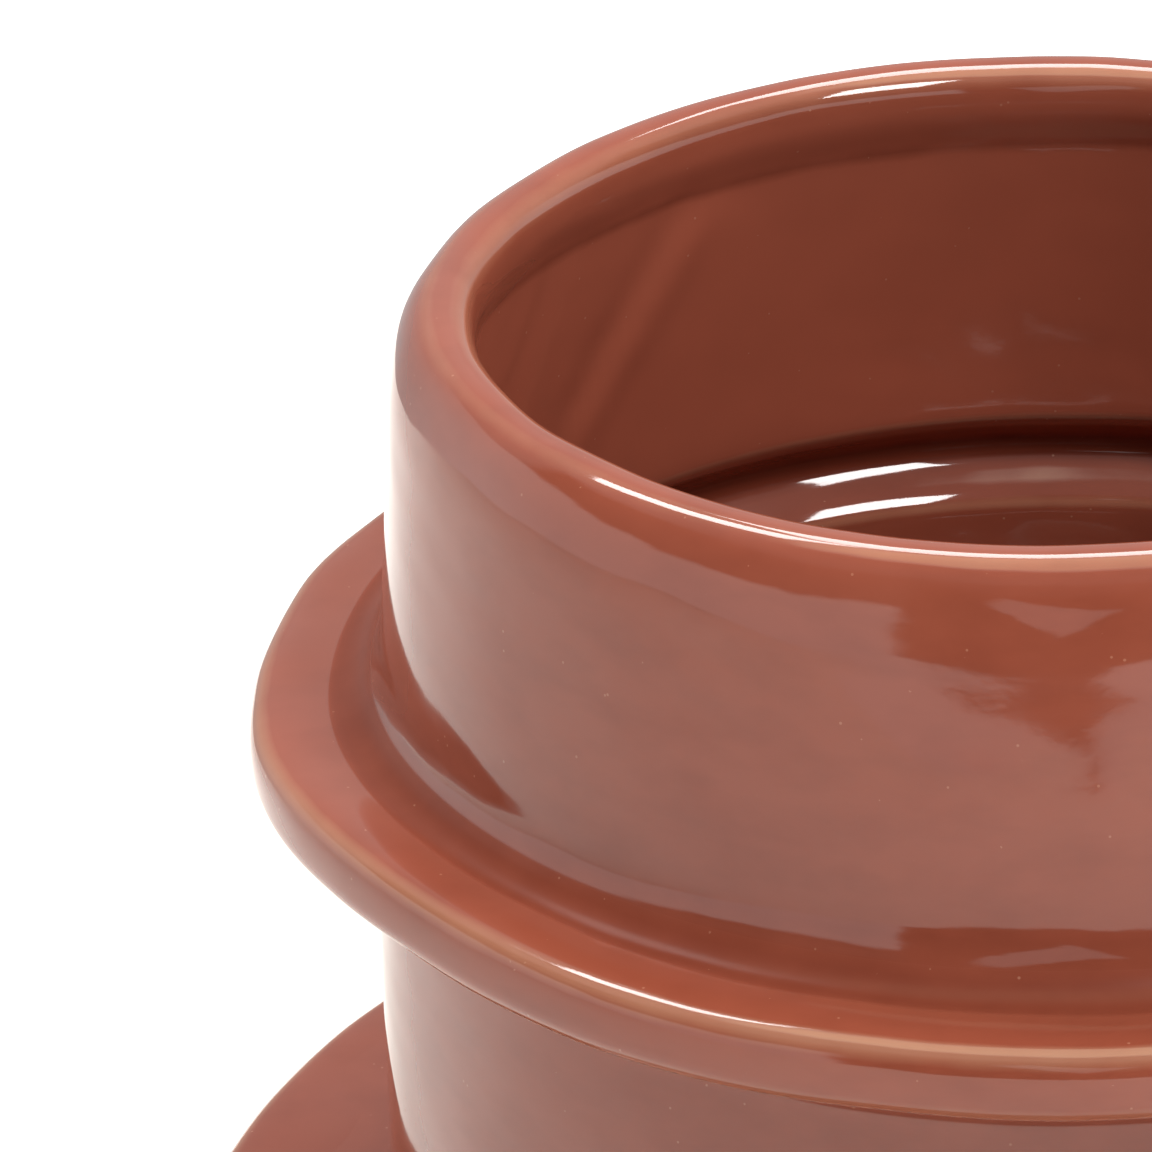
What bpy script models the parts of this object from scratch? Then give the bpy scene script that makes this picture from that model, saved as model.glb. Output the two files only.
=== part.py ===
"""Glazed terracotta pot with two disc flanges, as the clay sections it is joined from.

Units are metres, +Z is up, and the origin is the middle of the plane the pot stands on.
Every ceramic piece is a turned outline: a closed loop of (radius, height) points that
runs down its outer side and back up its inner side, swept once round the Z axis.
"""

from math import cos, pi, radians, sin

import bpy
import bmesh

# Whole pot
HEIGHT = 0.176              # pads to the top of the lip
JOINT_GAP = 0.0003          # clearance between neighbouring pieces
TURN_STEPS = 48             # facets round the axis

# Body: a wall of even thickness that swells to a soft belly
BELLY_RADIUS = 0.082
BELLY_HEIGHT = 0.070
BELLY_CURVE = 0.548         # 1/m, loss of radius per squared distance from the belly
WALL = 0.008

# Lip
LIP_HEIGHT = 0.0078
LIP_SHOULDER = 0.0056       # width of the long outer rounding
LIP_LEDGE = 0.0018          # how far the lip stands in from the wall below it
LIP_ROLL = WALL + LIP_LEDGE - LIP_SHOULDER  # radius of the tighter inner rounding

# Flanges
UPPER_FLANGE_HEIGHT = 0.1238
UPPER_FLANGE_RADIUS = 0.0949
LOWER_FLANGE_HEIGHT = 0.0441
LOWER_FLANGE_RADIUS = 0.1088
FLANGE_EDGE = 0.004         # radius of the rounded outer edge
FLANGE_DISH = 0.0009        # how far the top dips inside its raised edge
FLANGE_TOP_FILLET = 0.007
FLANGE_UNDER_FILLET = 0.003
GROOVE_DEPTH = 0.005        # hollow inside the wall, behind each flange
GROOVE_HALF_HEIGHT = 0.009

# Bottom
PAD_THICKNESS = 0.002
PAD_RADIUS = 0.005
PAD_BEVEL = 0.0004
PAD_COUNT = 3
FOOT_RADIUS = 0.0675        # middle of the foot ring
FOOT_WIDTH = 0.012
FOOT_HEIGHT = 0.005
FOOT_BEVEL = 0.0008
FLOOR_THICKNESS = 0.0086
FLOOR_STEP = 0.0008         # the slab's edge is cut down this much to seat the wall
HEEL_RADIUS = 0.0065        # rounding below the wall
COVE_RADIUS = 0.006         # rounding between the inner floor and the wall

FOOT_BOTTOM = PAD_THICKNESS + JOINT_GAP
FLOOR_BOTTOM = FOOT_BOTTOM + FOOT_HEIGHT + JOINT_GAP
FLOOR_TOP = FLOOR_BOTTOM + FLOOR_THICKNESS
SEAT_HEIGHT = FLOOR_TOP - FLOOR_STEP
LIP_BOTTOM = HEIGHT - LIP_HEIGHT


def wall_radius(height):
    """Outer radius of the body at a height."""
    return BELLY_RADIUS - BELLY_CURVE * (height - BELLY_HEIGHT) ** 2


def wall_points(start, end, steps):
    """Points along the body's outer face."""
    heights = [start + (end - start) * i / steps for i in range(steps + 1)]
    return [(wall_radius(z), z) for z in heights]


def arc(radius, height, width, rise, start, end, steps):
    """Elliptical arc about (radius, height), between two angles in degrees."""
    angles = [radians(start + (end - start) * i / steps) for i in range(steps + 1)]
    return [(radius + width * cos(a), height + rise * sin(a)) for a in angles]


def round_arc(radius, height, size, start, end, steps):
    return arc(radius, height, size, size, start, end, steps)


def glaze_material():
    return surface("glaze", (0.31, 0.085, 0.048), 0.14)


def bare_clay_material():
    return surface("bare_clay", (0.42, 0.17, 0.095), 0.85)


def felt_material():
    return surface("felt", (0.16, 0.14, 0.125), 0.95)


def surface(name, colour, roughness):
    material = bpy.data.materials.new(name)
    material.use_nodes = True
    shader = material.node_tree.nodes["Principled BSDF"]
    shader.inputs["Base Color"].default_value = (*colour, 1.0)
    shader.inputs["Roughness"].default_value = roughness
    shader.inputs["Metallic"].default_value = 0.0
    return material


def turn(name, outline, material, closed=True):
    """A turned piece. An open outline starts and ends on the axis."""
    mesh = bpy.data.meshes.new(name)
    bm = bmesh.new()
    verts = [bm.verts.new((r, 0.0, z)) for r, z in outline]
    for first, second in zip(verts, verts[1:]):
        bm.edges.new((first, second))
    if closed:
        bm.edges.new((verts[-1], verts[0]))
    bm.to_mesh(mesh)
    bm.free()
    mesh.materials.append(material)
    piece = bpy.data.objects.new(name, mesh)
    bpy.context.collection.objects.link(piece)
    screw = piece.modifiers.new("turn", "SCREW")
    screw.axis = "Z"
    screw.angle = 2 * pi
    screw.steps = TURN_STEPS
    screw.render_steps = TURN_STEPS
    screw.use_merge_vertices = True
    screw.merge_threshold = 0.00001
    screw.use_smooth_shade = True
    return piece


def make_lip(glaze):
    """The rolled coil that finishes the pot: a long outer shoulder and a tight inner one."""
    outer = wall_radius(LIP_BOTTOM)
    crown = outer - LIP_SHOULDER
    outline = arc(crown, LIP_BOTTOM + JOINT_GAP, LIP_SHOULDER, LIP_HEIGHT - JOINT_GAP, 90, 0, 5)
    inner = crown - LIP_ROLL
    outline.append((inner, LIP_BOTTOM + JOINT_GAP))
    outline += round_arc(crown, HEIGHT - LIP_ROLL, LIP_ROLL, 180, 90, 4)[:-1]
    return turn("rim_lip", outline, glaze)


def groove_depth(height):
    """Depth of the shallow hollow inside the wall behind each flange."""
    depth = 0.0
    for middle in (UPPER_FLANGE_HEIGHT, LOWER_FLANGE_HEIGHT):
        offset = abs(height - middle)
        if offset < GROOVE_HALF_HEIGHT:
            depth = GROOVE_DEPTH * cos(pi * offset / (2 * GROOVE_HALF_HEIGHT)) ** 2
    return depth


def inner_radius(height):
    return wall_radius(height) - WALL + groove_depth(height)


def inner_points(heights):
    return [(inner_radius(z), z) for z in heights]


def deck_height(middle):
    """Top of a flange inside its raised edge."""
    return middle + FLANGE_EDGE - FLANGE_DISH


def under_height(middle):
    return middle - FLANGE_EDGE


def top_fillet(middle, start, end, steps):
    """Part of the fillet between a flange's top and the wall above it."""
    height = deck_height(middle) + FLANGE_TOP_FILLET
    centre = wall_radius(height) + FLANGE_TOP_FILLET
    return round_arc(centre, height, FLANGE_TOP_FILLET, start, end, steps)


def under_fillet(middle, start, end, steps):
    """Part of the fillet between a flange's underside and the wall below it."""
    height = under_height(middle) - FLANGE_UNDER_FILLET
    centre = wall_radius(height) + FLANGE_UNDER_FILLET
    return round_arc(centre, height, FLANGE_UNDER_FILLET, start, end, steps)


def lifted(points, rise):
    return [(r, z + rise) for r, z in points]


def make_upper_wall(glaze):
    """The ring of wall between the lip and the upper flange."""
    fillet = lifted(top_fillet(UPPER_FLANGE_HEIGHT, 180, 225, 2), JOINT_GAP)
    outline = wall_points(LIP_BOTTOM, fillet[0][1], 3)[:-1] + fillet
    groove_top = UPPER_FLANGE_HEIGHT + GROOVE_HALF_HEIGHT
    joint = fillet[-1][1]
    outline += inner_points([joint, (joint + groove_top) / 2, groove_top])
    outline += inner_points([(groove_top + LIP_BOTTOM) / 2, LIP_BOTTOM])
    return turn("upper_wall", outline, glaze)


def make_middle_wall(glaze):
    """The ring of wall between the two flanges, the widest part of the body."""
    upper = lifted(under_fillet(UPPER_FLANGE_HEIGHT, 135, 180, 1), -JOINT_GAP)
    lower = lifted(top_fillet(LOWER_FLANGE_HEIGHT, 180, 225, 2), JOINT_GAP)
    belly = wall_points(upper[-1][1], lower[0][1], 4)[1:-1]
    outline = upper + belly + lower
    bottom, top = lower[-1][1], upper[0][1]
    low_groove = LOWER_FLANGE_HEIGHT + GROOVE_HALF_HEIGHT
    high_groove = UPPER_FLANGE_HEIGHT - GROOVE_HALF_HEIGHT
    outline += inner_points([bottom, (bottom + low_groove) / 2, low_groove])
    outline += inner_points([BELLY_HEIGHT, (BELLY_HEIGHT + high_groove) / 2])
    outline += inner_points([high_groove, (high_groove + top) / 2, top])
    return turn("middle_wall", outline, glaze)


def cove_tip():
    """Radius where the cove inside the bottom ring of wall runs out onto the floor."""
    return inner_radius(SEAT_HEIGHT + JOINT_GAP + COVE_RADIUS) - COVE_RADIUS


def make_lower_wall(glaze):
    """The bottom ring of wall, coved inside where it meets the floor."""
    bottom = SEAT_HEIGHT + JOINT_GAP
    upper = lifted(under_fillet(LOWER_FLANGE_HEIGHT, 135, 180, 1), -JOINT_GAP)
    outline = upper + wall_points(upper[-1][1], bottom, 2)[1:]
    cove_top = bottom + COVE_RADIUS
    outline += round_arc(cove_tip(), cove_top, COVE_RADIUS, -90, 0, 3)
    low_groove = LOWER_FLANGE_HEIGHT - GROOVE_HALF_HEIGHT
    top = upper[0][1]
    outline += inner_points([low_groove, (low_groove + top) / 2, top])
    return turn("lower_wall", outline, glaze)


def make_flange(name, middle, radius, glaze):
    """A disc flange laid between two rings of wall, with half of each fillet."""
    edge = radius - FLANGE_EDGE
    rise = top_fillet(middle, 225, 270, 2)
    drop = under_fillet(middle, 90, 135, 1)
    outline = rise + round_arc(edge, middle, FLANGE_EDGE, 100, -90, 7) + drop
    bottom, top = drop[-1][1], rise[0][1]
    steps = 4
    outline += inner_points([bottom + (top - bottom) * i / steps for i in range(steps + 1)])
    return turn(name, outline, glaze)


def make_floor(glaze):
    """The base slab: flat inside and out, stepped to seat the wall, with a rounded heel."""
    rim = wall_radius(SEAT_HEIGHT)
    step = cove_tip() - JOINT_GAP
    outline = [(0.0, FLOOR_TOP), (step, FLOOR_TOP), (step, SEAT_HEIGHT), (rim, SEAT_HEIGHT)]
    heel = FLOOR_BOTTOM + HEEL_RADIUS
    outline += round_arc(rim - HEEL_RADIUS, heel, HEEL_RADIUS, 0, -90, 4)
    outline.append((0.0, FLOOR_BOTTOM))
    return turn("base_floor", outline, glaze, closed=False)


def make_foot(clay):
    """The bare ring the pot is fired on, its edges sponged off."""
    inner = FOOT_RADIUS - FOOT_WIDTH / 2
    outer = FOOT_RADIUS + FOOT_WIDTH / 2
    top = FOOT_BOTTOM + FOOT_HEIGHT
    chamfer_top = FOOT_BOTTOM + FOOT_BEVEL
    outline = [
        (outer, top),
        (outer, chamfer_top),
        (outer - FOOT_BEVEL, FOOT_BOTTOM),
        (inner + FOOT_BEVEL, FOOT_BOTTOM),
        (inner, chamfer_top),
        (inner, top),
    ]
    return turn("foot_ring", outline, clay)


def make_pads(felt):
    """Felt discs, evenly spaced under the foot ring."""
    mesh = bpy.data.meshes.new("foot_pad")
    bm = bmesh.new()
    bmesh.ops.create_cone(
        bm,
        cap_ends=True,
        segments=24,
        radius1=PAD_RADIUS,
        radius2=PAD_RADIUS,
        depth=PAD_THICKNESS,
    )
    bottom_rim = [e for e in bm.edges if all(v.co.z < 0 for v in e.verts)]
    bmesh.ops.bevel(bm, geom=bottom_rim, offset=PAD_BEVEL, segments=1, affect="EDGES")
    bm.to_mesh(mesh)
    bm.free()
    mesh.materials.append(felt)
    mesh.shade_smooth()
    mesh.set_sharp_from_angle(angle=radians(35))
    for i in range(PAD_COUNT):
        angle = pi / 2 + 2 * pi * i / PAD_COUNT
        pad = bpy.data.objects.new(f"foot_pad_{i + 1}", mesh)
        pad.location = (
            FOOT_RADIUS * cos(angle),
            FOOT_RADIUS * sin(angle),
            PAD_THICKNESS / 2,
        )
        bpy.context.collection.objects.link(pad)


def main():
    for old in list(bpy.data.objects):
        bpy.data.objects.remove(old, do_unlink=True)
    glaze = glaze_material()
    make_lip(glaze)
    make_upper_wall(glaze)
    make_flange("upper_flange", UPPER_FLANGE_HEIGHT, UPPER_FLANGE_RADIUS, glaze)
    make_middle_wall(glaze)
    make_flange("lower_flange", LOWER_FLANGE_HEIGHT, LOWER_FLANGE_RADIUS, glaze)
    make_lower_wall(glaze)
    make_floor(glaze)
    make_foot(bare_clay_material())
    make_pads(felt_material())


main()
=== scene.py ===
"""The looks of the glazed terracotta pot: glaze, bare foot, felt pads and a plain studio.

Metres, +Z up, in the CAD's frame. The skin is one turned surface, wobbled and cut into
the CAD's clay sections, so that the glaze runs on from piece to piece without a seam.
"""

from math import cos, pi, radians, sin

import bpy
import numpy as np
from mathutils import Matrix, Vector


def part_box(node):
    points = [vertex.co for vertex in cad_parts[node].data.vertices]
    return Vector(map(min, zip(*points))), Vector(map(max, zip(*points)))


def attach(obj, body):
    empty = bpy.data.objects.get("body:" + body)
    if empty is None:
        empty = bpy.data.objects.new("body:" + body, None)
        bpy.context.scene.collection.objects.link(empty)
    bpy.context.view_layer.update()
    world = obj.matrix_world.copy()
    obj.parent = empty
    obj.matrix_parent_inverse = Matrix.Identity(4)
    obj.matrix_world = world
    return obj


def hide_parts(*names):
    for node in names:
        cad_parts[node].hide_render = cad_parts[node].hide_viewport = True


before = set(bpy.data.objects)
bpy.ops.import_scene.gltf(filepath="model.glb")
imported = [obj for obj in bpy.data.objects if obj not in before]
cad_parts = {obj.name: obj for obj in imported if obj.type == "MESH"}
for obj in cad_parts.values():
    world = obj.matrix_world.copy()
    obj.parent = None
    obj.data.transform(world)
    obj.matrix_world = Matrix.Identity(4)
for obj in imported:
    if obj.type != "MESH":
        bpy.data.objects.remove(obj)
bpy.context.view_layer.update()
MM = 0.001

# ---------------------------------------------------------------- sizes, from the frame
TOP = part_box("rim_lip")[1].z
JOINT_GAP = 0.3 * MM
LIP_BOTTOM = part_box("rim_lip")[0].z - JOINT_GAP
FLOOR_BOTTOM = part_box("base_floor")[0].z
FLOOR_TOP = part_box("base_floor")[1].z
FOOT_LOW, FOOT_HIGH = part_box("foot_ring")

# Body wall, as the CAD turns it
BELLY_RADIUS = 82 * MM
BELLY_HEIGHT = 70 * MM
BELLY_CURVE = 0.548
WALL = 8 * MM
HEEL_RADIUS = 6.5 * MM
COVE_RADIUS = 6 * MM        # between the inner floor and the wall

# Lip
LIP_SHOULDER = 4.9 * MM     # the wall draws in by this much
SHOULDER_DROP = 11 * MM     # over this height below the top
SHOULDER_SQUARENESS = 2.3   # superellipse powers: 2 is an ellipse, more is squarer
LIP_ROLL = 4.2 * MM
LIP_SQUARENESS = 2.5
LEDGE_WIDTH = 6.5 * MM      # height over which the ledge below the lip steps back

# Flanges
FLANGE_EDGE = 4 * MM        # from the middle down to the underside, and out to the rim
FLANGE_RISE = 5.2 * MM      # from the middle up to the ridge round the deck
FLANGE_DISH = 0.45 * MM     # the deck lies this far below its ridge
RIDGE_SQUARENESS = 3.4
UNDER_SQUARENESS = 2.5
RIDGE_START = 96            # degrees: the edge's curve starts just inside its crest
FLARE_RADIUS = 9.5 * MM     # the wall leans out above a flange
FLARE_START = 2             # from this tilt in degrees
FLARE_TILT = 33             # to this one
FLARE_HEIGHT = 0.2 * MM     # then goes straight for a little
FLARE_COVE = 5.0 * MM       # and meets the deck in a cove
UNDER_FILLET = 8.0 * MM
UNDER_JOINT_DROP = 0.88 * MM    # the lower joint is this far below the flange's flat underside
GROOVE_DEPTH = 5.2 * MM
GROOVE_HALF_HEIGHT = 7 * MM
GROOVE_DROP = 3.5 * MM      # the hollow inside sits this far below its flange

# Mesh of the skin
COLUMNS = 256
FINE_STEP = 0.2 * MM        # spacing of the section before it is thinned
SOFTENING = 0.55 * MM       # every edge is rounded over about this length
WIDEST_STEP = 1.25 * MM
TIGHTEST_STEP = 0.4 * MM
TURN_PER_STEP = 0.13        # radians of bend that one row may span
POLE = 1.0 * MM             # the skin's first and last row, round the axis

rng = np.random.default_rng(11)


def flange(node_name):
    """Middle height and outer radius of a flange."""
    low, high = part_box(node_name)
    return low.z + UNDER_JOINT_DROP + FLANGE_EDGE, high.x


UPPER_FLANGE = flange("upper_flange")
LOWER_FLANGE = flange("lower_flange")


# ---------------------------------------------------------------- section of the skin
def wall_radius(z):
    return BELLY_RADIUS - BELLY_CURVE * (z - BELLY_HEIGHT) ** 2


def shoulder_radius(z):
    """Outside of the wall where it draws in to the top of the lip."""
    t = np.clip(1 - (TOP - z) / SHOULDER_DROP, 0, 1)
    drawn = 1 - (1 - t ** SHOULDER_SQUARENESS) ** (1 / SHOULDER_SQUARENESS)
    return wall_radius(z) - LIP_SHOULDER * drawn


def smoothstep(low, high, value):
    t = np.clip((value - low) / (high - low), 0.0, 1.0)
    return t * t * (3 - 2 * t)


def curve(centre, width, rise, start, end, power=2.0):
    """Superelliptic arc between two angles in degrees; power 2 is a plain ellipse."""
    angles = np.radians(np.linspace(start, end, 40))
    c, s = np.cos(angles), np.sin(angles)
    reach = (np.abs(c) ** power + np.abs(s) ** power) ** (-1 / power)
    return np.stack([centre[0] + width * reach * c, centre[1] + rise * reach * s], 1)


def cove_tip():
    """Radius at which the inner floor starts to turn up into the wall."""
    return wall_radius(FLOOR_TOP + COVE_RADIUS) - WALL - COVE_RADIUS


def inner_wall():
    """Inside of the body, from the cove up to the lip, hollowed behind each flange."""
    z = np.linspace(FLOOR_TOP + COVE_RADIUS, TOP - LIP_ROLL, 400)
    r = wall_radius(z) - WALL
    for middle, _ in (UPPER_FLANGE, LOWER_FLANGE):
        offset = np.clip((z - middle + GROOVE_DROP) / GROOVE_HALF_HEIGHT, -1, 1)
        r += GROOVE_DEPTH * np.cos(pi * offset / 2) ** 2
    lip_inside = wall_radius(TOP) - LIP_SHOULDER - LIP_ROLL
    step = smoothstep(LIP_BOTTOM - LEDGE_WIDTH / 2, LIP_BOTTOM + LEDGE_WIDTH / 2, z)
    return np.stack([r + (lip_inside - r) * step, z], 1)


def arc(start, radius, first, last):
    """Circular arc from a point, with the tilt of its outward face going from first to last."""
    tilt = np.radians(np.linspace(first, last, 24))
    turned = np.stack([-np.cos(tilt), -np.sin(tilt)], 1) * radius
    return np.asarray(start) + turned - turned[0]


def flare():
    """The line from the wall down to a flange's deck, ending at (0, 0) on the deck."""
    upper = arc((0, 0), FLARE_RADIUS, FLARE_START, FLARE_TILT)
    lean = radians(FLARE_TILT)
    straight = upper[-1] + np.array([sin(lean), -cos(lean)]) * FLARE_HEIGHT
    line = np.concatenate([upper, arc(straight, FLARE_COVE, FLARE_TILT, 90)])
    return line - line[-1]


def flange_section(middle, radius):
    """A flange from the wall above it to the wall below it."""
    edge = (radius - FLANGE_EDGE, middle)
    down = flare() + (0, middle + FLANGE_RISE - FLANGE_DISH)
    down[:, 0] += wall_radius(down[0, 1]) - down[0, 0]
    bottom = middle - FLANGE_EDGE - UNDER_FILLET
    bottom_centre = (wall_radius(bottom) + UNDER_FILLET, bottom)
    return [
        down,
        curve(edge, FLANGE_EDGE, FLANGE_RISE, RIDGE_START, 0, RIDGE_SQUARENESS),
        curve(edge, FLANGE_EDGE, FLANGE_EDGE, 0, -90, UNDER_SQUARENESS),
        curve(bottom_centre, UNDER_FILLET, UNDER_FILLET, 90, 180),
    ]


def skin_section():
    """Section through the whole skin: inner floor, inside, lip, outside, underside."""
    crown = wall_radius(TOP) - LIP_SHOULDER
    down = TOP - SHOULDER_DROP * (1 - np.cos(np.linspace(0, pi / 2, 60)))
    heel_edge = wall_radius(FLOOR_TOP) - HEEL_RADIUS
    parts = [
        [(POLE, FLOOR_TOP)],
        curve((cove_tip(), FLOOR_TOP + COVE_RADIUS), COVE_RADIUS, COVE_RADIUS, -90, 0),
        inner_wall(),
        curve((crown, TOP - LIP_ROLL), LIP_ROLL, LIP_ROLL, 180, 90, LIP_SQUARENESS),
        np.stack([shoulder_radius(down), down], 1),
    ]
    parts += flange_section(*UPPER_FLANGE)
    low = LOWER_FLANGE[0] + FLANGE_RISE - FLANGE_DISH + flare()[0, 1]
    high = UPPER_FLANGE[0] - FLANGE_EDGE - UNDER_FILLET
    heights = low + (high - low) * np.linspace(0.9, 0.1, 9)
    parts.append(np.stack([wall_radius(heights), heights], 1))
    parts += flange_section(*LOWER_FLANGE)
    heel_centre = (heel_edge, FLOOR_BOTTOM + HEEL_RADIUS)
    parts.append(curve(heel_centre, HEEL_RADIUS, HEEL_RADIUS, 0, -90))
    parts.append([(POLE, FLOOR_BOTTOM)])
    return np.concatenate([np.asarray(part, float) for part in parts])


def walked(points, step):
    """The same line with points at an even spacing, and the distance along it."""
    lengths = np.hypot(*np.diff(points, axis=0).T)
    points = points[np.r_[True, lengths > 1e-7]]
    lengths = np.hypot(*np.diff(points, axis=0).T)
    run = np.r_[0, np.cumsum(lengths)]
    even = np.linspace(0, run[-1], int(run[-1] / step))
    return np.stack([np.interp(even, run, points[:, k]) for k in range(2)], 1), even


def softened(points, width, step):
    """The line rounded by a moving average, with its ends held."""
    reach = int(4 * width / step)
    kernel = np.exp(-0.5 * (np.arange(-reach, reach + 1) * step / width) ** 2)
    kernel /= kernel.sum()
    before = 2 * points[:1] - points[reach:0:-1]
    after = 2 * points[-1:] - points[-2:-reach - 2:-1]
    padded = np.concatenate([before, points, after])
    return np.stack([np.convolve(padded[:, k], kernel, "valid") for k in range(2)], 1)


def section_rows():
    """Radius, height, bend and distance along the section, in rows that are closer where it bends.

    The bend is in 1/mm, and positive where the surface is convex.
    """
    line, run = walked(skin_section(), FINE_STEP)
    line = softened(line, SOFTENING, FINE_STEP)
    line, run = walked(line, FINE_STEP)
    tangent = np.gradient(line, run, axis=0)
    heading = np.unwrap(np.arctan2(tangent[:, 1], tangent[:, 0]))
    bend = -np.gradient(heading, run) * MM
    step = TURN_PER_STEP * MM / np.maximum(np.abs(bend), 1e-6)
    step = np.clip(step, TIGHTEST_STEP, WIDEST_STEP)
    count = np.r_[0, np.cumsum(FINE_STEP / step[1:])]
    at = np.interp(np.linspace(0, count[-1], int(count[-1])), count, run)
    rows = [np.interp(at, run, line[:, k]) for k in range(2)]
    return rows[0], rows[1], np.interp(at, run, bend), at


# ---------------------------------------------------------------- the hand in the clay
# Whole waves round the pot, each (count, size in mm, phase in degrees)
BODY_ROUNDNESS = [(3, 0.10, 200), (5, 0.05, 80)]
FLANGE_OUTLINE = [(1, 0.35, -90), (2, 0.20, 0), (5, 0.30, 140), (9, 0.25, -4), (13, 0.08, 40)]
FLANGE_DROOP = [(4, 0.35, 232), (7, 0.12, 30), (11, 0.06, 200)]
LIP_HEIGHT_WAVE = [(1, 0.40, -165), (3, 0.20, 60), (4, 0.30, -88), (9, 0.05, 0)]
FOOT_ROUNDNESS = [(3, 0.15, 20), (7, 0.05, 110)]
LOWER_FLANGE_TURN = radians(137)    # the lower flange's unevenness is turned from the upper's
WAVE_REACH = 8 * MM                 # a flange's waves are at full size this far out from the wall
WAVE_LIMIT = 1.6                    # and grow to this much beyond it

# Random relief: number of waves, range of lengths, size, stretch of the waves' directions
RIPPLES = [
    (40, (16 * MM, 45 * MM), 0.070 * MM, (1, 1, 1)),
    (30, (6 * MM, 12 * MM), 0.010 * MM, (0.2, 0.2, 1)),
    (40, (5 * MM, 9 * MM), 0.004 * MM, (1, 1, 1)),
]

DRAG_MARK = ((129, -11 * MM), (147, -37 * MM))  # its ends: degrees round, height from the top
DRAG_WIDTH = 2.6 * MM
DRAG_DEPTH = 0.45 * MM

INSIDE_BLEND = (3 * MM, 10 * MM)    # along the section from the crest, the inside takes over, with its painted lighter tone
INSIDE_LIGHT_FADE = (TOP - 62 * MM, TOP - 42 * MM)    # the inside's painted light, a lighter glaze tone, fades out downwards here


def ring_wave(theta, waves):
    total = 0.0
    for count, size, phase in waves:
        total = total + size * MM * np.cos(count * theta + radians(phase))
    return total


def ripple(points, waves, lengths, size, squash):
    """Smooth random relief: plane waves with lengths in a range, stretched round the pot."""
    total = 0.0
    for _ in range(waves):
        direction = rng.normal(size=3) * squash
        direction /= np.linalg.norm(direction)
        length = rng.uniform(*lengths)
        phase = rng.uniform(0, 2 * pi)
        total = total + np.cos(points @ (direction * 2 * pi / length) + phase)
    return total * size * (2 / waves) ** 0.5


def drag_mark(theta, height):
    """A soft crease left by a finger down the inside: a step across its length that fades out."""
    radius = BELLY_RADIUS - WALL
    start, end = [np.array([radians(turn) * radius, high]) for turn, high in DRAG_MARK]
    length = np.linalg.norm(end - start)
    along = (end - start) / length
    x, z = theta * radius - start[0], height - start[1]
    run = (x * along[0] + z * along[1]) / length
    off = (x * along[1] - z * along[0]) / DRAG_WIDTH
    ends = smoothstep(-0.1, 0.15, run) * smoothstep(1.15, 0.85, run)
    return DRAG_DEPTH * off * np.exp(0.5 - 0.5 * off ** 2) * ends


def grid_normals(points):
    along = np.gradient(points, axis=0)
    around = np.roll(points, -1, 1) - np.roll(points, 1, 1)
    normals = np.cross(along, around)
    return normals / np.linalg.norm(normals, axis=-1, keepdims=True)


def ring_angles(columns):
    return np.arange(columns) * 2 * pi / columns


def skin_grid():
    """Points and normals of the whole skin, as rows by columns, and three fields by row.

    The fields are the bend, how far the row takes the painted light inside (a lighter glaze
    colour), and how far it is in the glaze outside.
    """
    section_r, section_z, bend, run = section_rows()
    r, z, theta = section_r[:, None], section_z[:, None], ring_angles(COLUMNS)[None, :]
    reach = np.clip((r - wall_radius(z)) / WAVE_REACH, 0, WAVE_LIMIT)
    turn = np.where(z < (UPPER_FLANGE[0] + LOWER_FLANGE[0]) / 2, LOWER_FLANGE_TURN, 0.0)
    lip = smoothstep(LIP_BOTTOM - 6 * MM, TOP, z)
    upright = smoothstep(20 * MM, 60 * MM, r)
    outward = ring_wave(theta, BODY_ROUNDNESS) * upright
    outward = outward + ring_wave(theta + turn, FLANGE_OUTLINE) * reach
    upward = ring_wave(theta + turn, FLANGE_DROOP) * reach
    upward = upward + ring_wave(theta, LIP_HEIGHT_WAVE) * lip
    radius = r + outward
    points = [radius * np.cos(theta), radius * np.sin(theta), z + upward + 0 * theta]
    points = np.stack(points, -1)
    relief = sum(ripple(points, *settings) for settings in RIPPLES)
    before_crest = run[np.argmax(section_z)] - run
    inner = smoothstep(*INSIDE_BLEND, before_crest)
    relief = relief + drag_mark(theta, z - TOP) * inner[:, None]
    flat = smoothstep(FLOOR_BOTTOM + 1 * MM, FLOOR_BOTTOM + 7 * MM, z)
    flat = flat * smoothstep(5 * MM, 30 * MM, r)
    points = points + grid_normals(points) * (relief * flat)[..., None]
    # painted light: the inside's lighter tone, fading out downwards, stands in for light on the
    # inner walls
    painted_inside_light = inner * smoothstep(*INSIDE_LIGHT_FADE, section_z)
    return points, grid_normals(points), bend, painted_inside_light, 1 - inner


# ---------------------------------------------------------------- materials
BLACK, WHITE = (0.0, 0.0, 0.0), (1.0, 1.0, 1.0)

GLAZE_BODY = (0.216, 0.050, 0.028)
GLAZE_WARM = (0.252, 0.066, 0.038)
GLAZE_POOL = (0.125, 0.025, 0.013)
GLAZE_BREAK = (0.370, 0.200, 0.125)
GLAZE_INSIDE_PAINTED_LIGHT = (0.360, 0.093, 0.053)    # painted light: the inside is drawn in a lighter glaze colour than the outside
GLAZE_SPECK = (0.50, 0.28, 0.19)
SPECK_STRENGTH = 0.3
MOTTLE = 0.24               # share of pool colour in the darkest flecks
BEND_UNEVENNESS = 0.10      # in 1/mm: the glaze's edges wander as if the bend varied by this
BREAK_BENDS = (0.22, 0.70)  # convex bends from which the glaze is thinner, and thinnest
POOL_BENDS = (0.07, 0.32)   # hollow bends from which it is deeper, and deepest
DULL_BENDS = (0.108, 0.122)     # hollow bends, outside, from which deep glaze dries duller
GLAZE_ROUGHNESS, DULL_ROUGHNESS = 0.06, 0.30
GLAZE_SPECULAR, DULL_SPECULAR = 0.5, 0.08


def new_material(name):
    material = bpy.data.materials.new(name)
    material.use_nodes = True
    tree = material.node_tree
    return material, tree, tree.nodes["Principled BSDF"]


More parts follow.
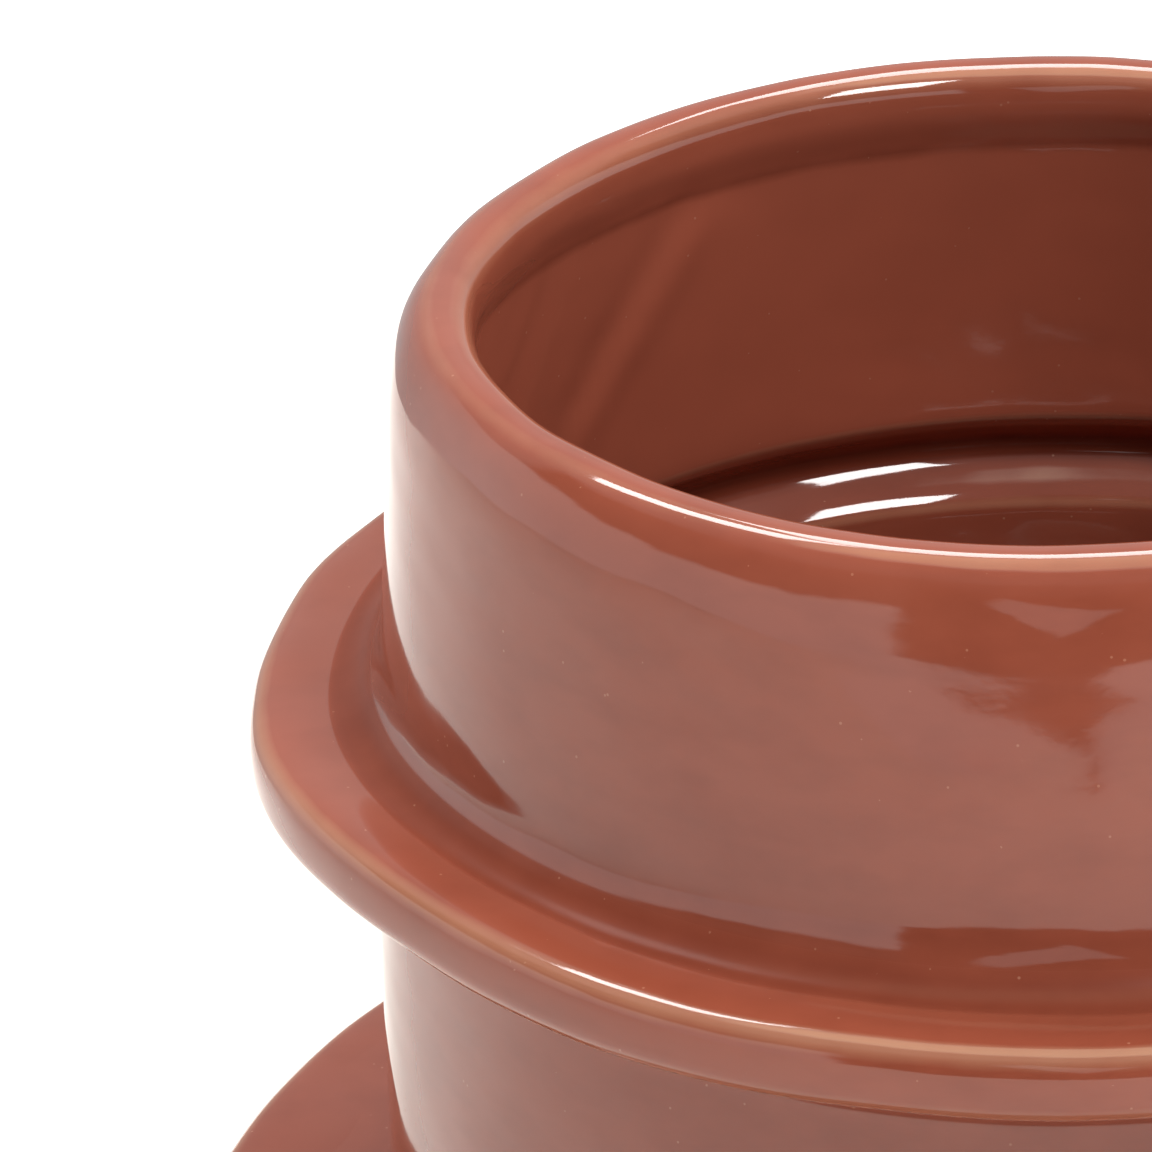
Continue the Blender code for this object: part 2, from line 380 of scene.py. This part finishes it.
def feed(tree, socket, value):
    """Link a socket to another node's output, or set its value."""
    if isinstance(value, bpy.types.NodeSocket):
        tree.links.new(value, socket)
    elif isinstance(value, tuple) and len(value) == 3 and len(socket.default_value) == 4:
        socket.default_value = (*value, 1.0)
    else:
        socket.default_value = value


def node(tree, kind, settings=None, **inputs):
    """A shader node with its settings, and its inputs set or linked by name."""
    made = tree.nodes.new(kind)
    for key, value in (settings or {}).items():
        setattr(made, key, value)
    for key, value in inputs.items():
        feed(tree, made.inputs[key], value)
    return made


def ramp(tree, factor, stops):
    """A colour ramp through (position, colour) stops."""
    made = node(tree, "ShaderNodeValToRGB", Fac=factor)
    for element, (position, colour) in zip(made.color_ramp.elements, stops):
        element.position = position
        element.color = (*colour, 1.0)
    return made.outputs["Color"]


def noise(tree, place, scale, detail=2.0):
    made = node(tree, "ShaderNodeTexNoise", Vector=place, Scale=scale, Detail=detail)
    return made.outputs["Fac"]


def stretched(tree, place, *scale):
    return node(tree, "ShaderNodeMapping", Vector=place, Scale=scale).outputs["Vector"]


def mix(tree, factor, first, second):
    made = node(tree, "ShaderNodeMix", {"data_type": "RGBA"})
    for number, value in ((0, factor), (6, first), (7, second)):
        feed(tree, made.inputs[number], value)
    return made.outputs[2]


def maths(tree, operation, *values):
    made = node(tree, "ShaderNodeMath", {"operation": operation})
    for socket, value in zip(made.inputs, values):
        feed(tree, socket, value)
    return made.outputs[0]


def field(tree, name):
    """A value stored on the mesh's points."""
    return node(tree, "ShaderNodeAttribute", {"attribute_name": name}).outputs["Fac"]


def bumped(tree, shader, strength, distance, height):
    bump = node(tree, "ShaderNodeBump", Strength=strength, Distance=distance, Height=height)
    feed(tree, shader.inputs["Normal"], bump.outputs["Normal"])


def glaze_material():
    """A glossy iron-red glaze that breaks to tan on sharp edges and pools dark in hollows."""
    material, tree, shader = new_material("iron_red_glaze")
    place = node(tree, "ShaderNodeTexCoord").outputs["Object"]
    bend = field(tree, "bend")
    cloud = noise(tree, place, 38.0, 3.0)
    patches = noise(tree, place, 160.0, 3.0)
    uneven = maths(tree, "MULTIPLY_ADD", patches, BEND_UNEVENNESS, -BEND_UNEVENNESS / 2)
    bend_seen = maths(tree, "ADD", bend, uneven)
    hollow_seen = maths(tree, "MULTIPLY", bend_seen, -1.0)
    broken = ramp(tree, bend_seen, list(zip(BREAK_BENDS, (BLACK, WHITE))))
    pooled = ramp(tree, hollow_seen, list(zip(POOL_BENDS, (BLACK, WHITE))))

    body = mix(tree, cloud, GLAZE_BODY, GLAZE_WARM)
    flecks = noise(tree, stretched(tree, place, 1.0, 1.0, 2.2), 90.0, 3.0)
    flecks = ramp(tree, flecks, [(0.42, BLACK), (0.72, (MOTTLE,) * 3)])
    body = mix(tree, flecks, body, GLAZE_POOL)
    # painted light: the inside takes a lighter glaze colour in place of light on the inner walls
    body = mix(tree, field(tree, "inside"), body, mix(tree, cloud, GLAZE_INSIDE_PAINTED_LIGHT, GLAZE_WARM))
    colour = mix(tree, pooled, body, GLAZE_POOL)
    colour = mix(tree, broken, colour, GLAZE_BREAK)
    dots = node(tree, "ShaderNodeTexVoronoi", Vector=place, Scale=620.0).outputs["Distance"]
    dots = maths(tree, "LESS_THAN", dots, 0.10)
    few = maths(tree, "GREATER_THAN", noise(tree, place, 240.0, 1.0), 0.62)
    specks = maths(tree, "MULTIPLY", maths(tree, "MULTIPLY", dots, few), SPECK_STRENGTH)
    feed(tree, shader.inputs["Base Color"], mix(tree, specks, colour, GLAZE_SPECK))

    hollow = maths(tree, "MULTIPLY", bend, -1.0)
    dull = ramp(tree, hollow, list(zip(DULL_BENDS, (BLACK, WHITE))))
    dull = maths(tree, "MULTIPLY", dull, field(tree, "outside"))
    for name, glossy, dry in (
        ("Roughness", GLAZE_ROUGHNESS, DULL_ROUGHNESS),
        ("Specular IOR Level", GLAZE_SPECULAR, DULL_SPECULAR),
    ):
        varied = maths(tree, "MULTIPLY_ADD", dull, dry - glossy, glossy)
        feed(tree, shader.inputs[name], varied)
    shader.inputs["IOR"].default_value = 1.5

    peel = noise(tree, place, 700.0)
    throwing_lines = noise(tree, stretched(tree, place, 1.0, 1.0, 3.0), 170.0)
    bumped(tree, shader, 0.6, 0.006 * MM, maths(tree, "ADD", peel, throwing_lines))
    return material


def clay_material():
    """Bare fired terracotta: fine grog, sponge marks and a dry surface."""
    material, tree, shader = new_material("bare_terracotta")
    place = node(tree, "ShaderNodeTexCoord").outputs["Object"]
    cloud = noise(tree, place, 60.0, 4.0)
    colour = ramp(tree, cloud, [(0.3, (0.36, 0.135, 0.072)), (0.7, (0.50, 0.215, 0.120))])
    grog = node(tree, "ShaderNodeTexVoronoi", Vector=place, Scale=900.0).outputs["Distance"]
    grains = maths(tree, "MULTIPLY", maths(tree, "LESS_THAN", grog, 0.22), 0.35)
    feed(tree, shader.inputs["Base Color"], mix(tree, grains, colour, (0.62, 0.37, 0.25)))
    rough = ramp(tree, cloud, [(0.3, (0.72,) * 3), (0.7, (0.9,) * 3)])
    feed(tree, shader.inputs["Roughness"], rough)
    grain = maths(tree, "ADD", noise(tree, place, 1400.0, 3.0), grog)
    bumped(tree, shader, 0.7, 0.08 * MM, grain)
    return material


def felt_material():
    """Dark pressed wool felt with crossing fibres."""
    material, tree, shader = new_material("wool_felt")
    place = node(tree, "ShaderNodeTexCoord").outputs["Object"]
    along = noise(tree, stretched(tree, place, 1.0, 6.0, 1.0), 900.0, 3.0)
    across = noise(tree, stretched(tree, place, 6.0, 1.0, 1.0), 900.0, 3.0)
    fibres = maths(tree, "ADD", along, across)
    shade = maths(tree, "MULTIPLY", fibres, 0.5)
    colour = ramp(tree, shade, [(0.3, (0.10, 0.088, 0.078)), (0.7, (0.24, 0.21, 0.19))])
    feed(tree, shader.inputs["Base Color"], colour)
    shader.inputs["Roughness"].default_value = 0.95
    shader.inputs["Sheen Weight"].default_value = 0.4
    shader.inputs["Sheen Roughness"].default_value = 0.5
    bumped(tree, shader, 0.9, 0.15 * MM, fibres)
    return material


# ---------------------------------------------------------------- pieces
FOOT_WIDTH = 12 * MM
FOOT_SQUARENESS = 9.0
PAD_COLUMNS = COLUMNS // 4
PAD_SQUARENESS = 6.0


def link(obj):
    bpy.context.scene.collection.objects.link(obj)
    return obj


def mesh_object(name, points, faces, materials, loop_normals=None, fields=None, slots=None):
    mesh = bpy.data.meshes.new(name)
    mesh.from_pydata(points.reshape(-1, 3).tolist(), [], faces)
    for material in materials:
        mesh.materials.append(material)
    if slots is not None:
        mesh.polygons.foreach_set("material_index", slots)
    for name_of_field, values in (fields or {}).items():
        attribute = mesh.attributes.new(name_of_field, "FLOAT", "POINT")
        attribute.data.foreach_set("value", values)
    mesh.shade_smooth()
    if loop_normals is not None:
        mesh.normals_split_custom_set(loop_normals.tolist())
    return link(bpy.data.objects.new(name, mesh))


def ring_faces(rows, count=COLUMNS):
    """Quads between neighbouring rows, closed round the pot; rows holds row numbers in order."""
    columns = np.arange(count)
    following = (columns + 1) % count
    faces = []
    for upper, lower in zip(rows, rows[1:]):
        a, b = upper * count, lower * count
        faces.append(np.stack([a + columns, b + columns, b + following, a + following], 1))
    return np.concatenate(faces)


def ceramic_piece(replaced, skin, spans, materials, bare_row=None):
    """A clay section: spans of skin rows, joined end to end by its flat joint faces.

    Rows from bare_row on are left unglazed and take the second material.
    """
    points, normals, bend, inside, outside = skin
    rows = np.concatenate([np.arange(first, last + 1) for first, last in spans])
    on_axis = rows[-1] == len(points) - 1
    order = list(range(len(rows))) + ([] if on_axis else [0])
    faces = ring_faces(order)
    face_rows = faces[:, 0] // COLUMNS
    joints = np.cumsum([last - first + 1 for first, last in spans]) - 1
    on_joint = np.isin(face_rows, joints)
    corners = points[rows].reshape(-1, 3)[faces]
    across = np.cross(corners[:, 2] - corners[:, 0], corners[:, 3] - corners[:, 1])
    across /= np.linalg.norm(across, axis=1, keepdims=True)
    loop_normals = normals[rows].reshape(-1, 3)[faces]
    loop_normals[on_joint] = across[on_joint][:, None]
    if bare_row is None:
        slots = np.zeros(len(faces), int)
    else:
        slots = (rows[face_rows] >= bare_row).astype(int)
    faces, loop_normals = faces.tolist(), loop_normals.reshape(-1, 3)
    if on_axis:
        ring = np.arange(COLUMNS)
        faces += [ring.tolist(), ((len(rows) - 1) * COLUMNS + ring[::-1]).tolist()]
        caps = np.repeat([[0.0, 0.0, 1.0], [0.0, 0.0, -1.0]], COLUMNS, 0)
        loop_normals = np.concatenate([loop_normals, caps])
        slots = np.r_[slots, 0, 1]
    # the inside field carries the painted light on the inner walls
    fields = {"bend": bend, "inside": inside, "outside": outside}
    fields = {name: np.repeat(values[rows], COLUMNS) for name, values in fields.items()}
    name = replaced + "_glazed"
    piece = mesh_object(name, points[rows], faces, materials, loop_normals, fields, slots)
    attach(piece, "root")
    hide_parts(replaced)


def make_body(glaze, clay):
    """The glazed skin, cut into the CAD's sections at their joints."""
    skin = skin_grid()
    section = skin[0][:, 0]
    last = len(section) - 1
    crest = int(np.argmax(section[:, 2]))

    def row_inside(height):
        return int(np.argmin(np.abs(section[:crest, 2] - height)))

    def row_outside(height):
        return crest + int(np.argmin(np.abs(section[crest:, 2] - height)))

    walls = ["rim_lip", "upper_wall", "upper_flange", "middle_wall", "lower_flange", "lower_wall"]
    joints = [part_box(name)[0].z - JOINT_GAP / 2 for name in walls]
    inner = [row_inside(z) for z in joints]
    outer = [row_outside(z) for z in joints]
    # inside, the lowest wall ends where the floor slab's cove begins
    inner[-1] = int(np.argmin(np.abs(section[:inner[-2], 0] - cove_tip())))
    ceramic_piece("rim_lip", skin, [(inner[0], outer[0])], [glaze])
    for k, name in enumerate(walls[1:], 1):
        spans = [(inner[k], inner[k - 1]), (outer[k - 1], outer[k])]
        ceramic_piece(name, skin, spans, [glaze])
    below = np.arange(last + 1) > outer[-1]
    bare_row = int(np.argmax(below & (section[:, 2] < FLOOR_BOTTOM + 0.5 * MM)))
    spans = [(0, inner[-1]), (outer[-1], last)]
    ceramic_piece("base_floor", skin, spans, [glaze, clay], bare_row)


def make_foot(clay):
    """The foot ring, sponged round and slightly uneven, flat where it stood in the kiln."""
    rise = (FOOT_HIGH.z - FOOT_LOW.z) / 2
    centre = (FOOT_HIGH.x - FOOT_WIDTH / 2, FOOT_LOW.z + rise)
    loop = curve(centre, FOOT_WIDTH / 2, rise, 270, -90, FOOT_SQUARENESS)
    line, _ = walked(np.r_[loop, loop[:1]], 0.5 * MM)
    r, z = line[:-1, 0][:, None], line[:-1, 1][:, None]
    theta = ring_angles(COLUMNS)[None, :]
    radius = r + ring_wave(theta, FOOT_ROUNDNESS)
    points = np.stack([radius * np.cos(theta), radius * np.sin(theta), z + 0 * theta], -1)
    faces = ring_faces(list(range(len(r))) + [0]).tolist()
    piece = mesh_object("foot_ring_bare", points, faces, [clay])
    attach(piece, "root")
    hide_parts("foot_ring")


def make_pads(felt):
    """Felt discs with a soft cut edge that isn't quite round."""
    angles = ring_angles(PAD_COLUMNS)
    section = curve((0, 0), 1.0, 1.0, 90, -90, PAD_SQUARENESS)[1:-1:2]
    faces = ring_faces(range(len(section)), PAD_COLUMNS).tolist()
    ring = np.arange(PAD_COLUMNS)
    faces += [ring.tolist(), ((len(section) - 1) * PAD_COLUMNS + ring[::-1]).tolist()]
    for number in (1, 2, 3):
        node_name = f"foot_pad_{number}"
        low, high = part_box(node_name)
        centre = (low + high) / 2
        fuzz = 1 - 0.012 * np.abs(np.sin(angles * 17 + number)) - 0.01 * np.cos(angles * 31)
        radius = (high.x - low.x) / 2 * section[:, :1] * fuzz
        height = centre.z + (high.z - low.z) / 2 * section[:, 1:] + 0 * angles
        points = [centre.x + radius * np.cos(angles), centre.y + radius * np.sin(angles), height]
        pad = mesh_object(f"felt_pad_{number}", np.stack(points, -1), faces, [felt])
        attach(pad, "root")
        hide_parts(node_name)


# ---------------------------------------------------------------- camera
CAMERA_DISTANCE = 700 * MM      # from the middle of the mouth
CAMERA_HEIGHT_ANGLE = 22.98
CAMERA_PAN = -5.02
CAMERA_TILT = 25.63
CAMERA_ROLL = 2.47
CAMERA_LENS = 190.3


def make_camera():
    data = bpy.data.cameras.new("camera")
    data.lens = CAMERA_LENS
    data.sensor_width = 36.0
    data.clip_start, data.clip_end = 0.01, 50.0
    camera = link(bpy.data.objects.new("camera", data))
    rise = radians(CAMERA_HEIGHT_ANGLE)
    camera.location = (0, -CAMERA_DISTANCE * cos(rise), TOP + CAMERA_DISTANCE * sin(rise))
    pan, tilt = radians(CAMERA_PAN), radians(CAMERA_TILT)
    aim = Vector((sin(pan) * cos(tilt), cos(pan) * cos(tilt), -sin(tilt)))
    right = Vector((cos(pan), -sin(pan), 0))
    up = right.cross(aim)
    c, s = cos(radians(CAMERA_ROLL)), sin(radians(CAMERA_ROLL))
    axes = Matrix((c * right - s * up, s * right + c * up, -aim)).transposed()
    camera.rotation_mode = "QUATERNION"
    camera.rotation_quaternion = axes.to_quaternion()
    bpy.context.scene.camera = camera


# ---------------------------------------------------------------- studio
# Directions in degrees: turn is 0 towards the camera and positive to its right, rise is above
# the horizon. Brightness is radiance.
TABLE_NEAR, TABLE_FAR, TABLE_SIDE = -0.57, 0.45, 1.2    # y of its edges, half its width
TABLE_WHITE = 0.86

WANDER = 4.0                # the room's edges wander by up to this much
SURROUND = 1.6              # white walls low down
SURROUND_TOP = 13           # their upper edge in front
SIDE_TURNS = (60, 105)      # the edge climbs between these turns
SIDE_RISE = 10              # by this much
BACK_TURNS = (105, 150)     # and the walls get darker between these
BACK_SHARE = 0.32           # down to this share
ROOM = 0.10                 # dark room above the walls
UPPER_ROOM = 0.8            # paler near the ceiling, behind the pot
UPPER_ROOM_FRONT = 0.45     # and this share of it on the camera's side
UPPER_ROOM_RISE = 42
BACKDROP = 0.68             # a screen behind the pot
BACKDROP_RISE = 14
CEILING = 3.8               # a warm patch straight above
CEILING_RISE = 68
CEILING_TINT = (1.0, 0.82, 0.58)
BACKGROUND = 2.0            # what the camera sees beyond the pot and the table, plain white
OVERHEAD = 95               # above every rise there is

GAP_TURNS = (-25, 17)       # dark gap round the camera
GAP_RISES = (-17.1, 30)
GAP_CENTRE = 3.0            # its lower edge is round, lowest at this turn
GAP_ROUNDNESS = 0.073
GAP_LEAN, GAP_LEAN_LIMIT = -3.0, 56     # its right side leans out upwards
WINDOW = 1.0                # a pale triangle inside the gap
WINDOW_TURNS = (-12, 12)
WINDOW_SIDES = ((0.65, -90, 20), (1.5, -0.5, 200), (-1.75, -1.5, 200))   # slope, low, high

# name, turn, rise, width, height, brightness
SOFTBOXES = [
    ("softbox_right", 41, 47, 0.46, 0.50, 24.0),
    ("softbox_left", -132, 60, 0.38, 0.45, 16.0),
    ("softbox_behind", 180, 58, 0.62, 0.52, 12.0),
]
SOFTBOX_DISTANCE = 1.5      # from the mouth


def make_floor():
    """A white table that ends in front of the pot, below the camera."""
    mesh = bpy.data.meshes.new("floor")
    near, far, side = TABLE_NEAR, TABLE_FAR, TABLE_SIDE
    corners = [(-side, near, 0), (side, near, 0), (side, far, 0), (-side, far, 0)]
    mesh.from_pydata(corners, [], [(0, 1, 2, 3)])
    material, _, shader = new_material("pale_floor")
    shader.inputs["Base Color"].default_value = (TABLE_WHITE, TABLE_WHITE, TABLE_WHITE, 1)
    shader.inputs["Roughness"].default_value = 0.9
    shader.inputs["Specular IOR Level"].default_value = 0.1
    mesh.materials.append(material)
    floor = link(bpy.data.objects.new("floor", mesh))


def eased(tree, value, start, end, first=0.0, last=1.0):
    """Goes smoothly from first to last while the value goes from start to end."""
    made = node(tree, "ShaderNodeMapRange", {"interpolation_type": "SMOOTHSTEP"}, Value=value)
    names = ("From Min", "From Max", "To Min", "To Max")
    for name, number in zip(names, (start, end, first, last)):
        made.inputs[name].default_value = number
    return made.outputs[0]


def between(tree, value, low, high, soft):
    """One inside a range and zero outside, with soft ends."""
    rising = eased(tree, value, low - soft, low + soft)
    falling = eased(tree, value, high + soft, high - soft)
    return maths(tree, "MULTIPLY", rising, falling)


def make_world():
    """A pale studio with a dark gap round the camera, so that the glaze has edges to show."""
    world = bpy.data.worlds.new("studio")
    world.use_nodes = True
    tree = world.node_tree
    tree.nodes.clear()

    def times(first, second):
        return maths(tree, "MULTIPLY", first, second)

    def line(value, slope, offset):
        return maths(tree, "MULTIPLY_ADD", value, slope, offset)

    direction = node(tree, "ShaderNodeTexCoord").outputs["Generated"]
    x, y, z = node(tree, "ShaderNodeSeparateXYZ", Vector=direction).outputs
    true_turn = maths(tree, "DEGREES", maths(tree, "ARCTAN2", x, times(y, -1.0)))
    true_rise = maths(tree, "DEGREES", maths(tree, "ARCSINE", z))
    wander = line(noise(tree, direction, 5.0), 2 * WANDER, -WANDER)
    turn = maths(tree, "ADD", true_turn, wander)
    rise = maths(tree, "ADD", true_rise, wander)
    aside = maths(tree, "ABSOLUTE", turn)

    edge = line(eased(tree, aside, *SIDE_TURNS), -SIDE_RISE, rise)
    surround = between(tree, edge, -120, SURROUND_TOP, 2)
    surround = times(surround, eased(tree, aside, *BACK_TURNS, 1.0, BACK_SHARE))

    off_centre = times(maths(tree, "ADD", true_turn, -GAP_CENTRE), GAP_ROUNDNESS)
    dip = maths(tree, "POWER", maths(tree, "ABSOLUTE", off_centre), 2.0)
    rounded = maths(tree, "SUBTRACT", true_rise, dip)
    gap = times(between(tree, turn, *GAP_TURNS, 1.5), between(tree, rounded, *GAP_RISES, 0.3))
    leaning = line(true_rise, GAP_LEAN, true_turn)
    gap = times(gap, between(tree, leaning, -500, GAP_LEAN_LIMIT, 2))

    window = between(tree, turn, *WINDOW_TURNS, 2)
    for slope, low, high in WINDOW_SIDES:
        window = times(window, between(tree, line(turn, slope, rise), low, high, 1.5))

    total = times(line(surround, SURROUND - ROOM, ROOM), maths(tree, "SUBTRACT", 1.0, gap))
    total = line(window, WINDOW, total)
    front = UPPER_ROOM_FRONT * UPPER_ROOM
    pale = line(between(tree, y, -0.1, 2.0, 0.2), UPPER_ROOM - front, front)
    pale = times(between(tree, rise, UPPER_ROOM_RISE, OVERHEAD, 5), pale)
    total = maths(tree, "MAXIMUM", total, pale)
    screen = between(tree, rise, BACKDROP_RISE, OVERHEAD, 4)
    screen = times(between(tree, y, 0.25, 2.0, 0.1), screen)
    total = maths(tree, "MAXIMUM", total, times(screen, BACKDROP))
    ceiling = between(tree, rise, CEILING_RISE, OVERHEAD, 6)
    total = maths(tree, "MAXIMUM", total, times(ceiling, CEILING))
    colour = mix(tree, ceiling, WHITE, CEILING_TINT)

    seen = node(tree, "ShaderNodeLightPath").outputs["Is Camera Ray"]
    colour = mix(tree, seen, colour, WHITE)
    strength = maths(tree, "MAXIMUM", total, times(seen, BACKGROUND))
    background = node(tree, "ShaderNodeBackground", Color=colour, Strength=strength)
    node(tree, "ShaderNodeOutputWorld", Surface=background.outputs[0])
    bpy.context.scene.world = world


def make_lights():
    """Softboxes that the camera doesn't see, aimed at the mouth."""
    mouth = Vector((0, 0, TOP))
    for name, turn, rise, width, height, brightness in SOFTBOXES:
        turn, rise = radians(turn), radians(rise)
        way = Vector((sin(turn) * cos(rise), -cos(turn) * cos(rise), sin(rise)))
        data = bpy.data.lights.new(name, "AREA")
        data.shape = "RECTANGLE"
        data.size, data.size_y = width, height
        data.energy = brightness * pi * width * height
        lamp = link(bpy.data.objects.new(name, data))
        lamp.location = mouth + SOFTBOX_DISTANCE * way
        lamp.rotation_mode = "QUATERNION"
        lamp.rotation_quaternion = (-way).to_track_quat("-Z", "Y")
        lamp.visible_camera = False


def main():
    bpy.context.scene.view_settings.view_transform = "Standard"
    glaze, clay, felt = glaze_material(), clay_material(), felt_material()
    make_camera()
    make_body(glaze, clay)
    make_foot(clay)
    make_pads(felt)
    make_floor()
    make_world()
    make_lights()


main()
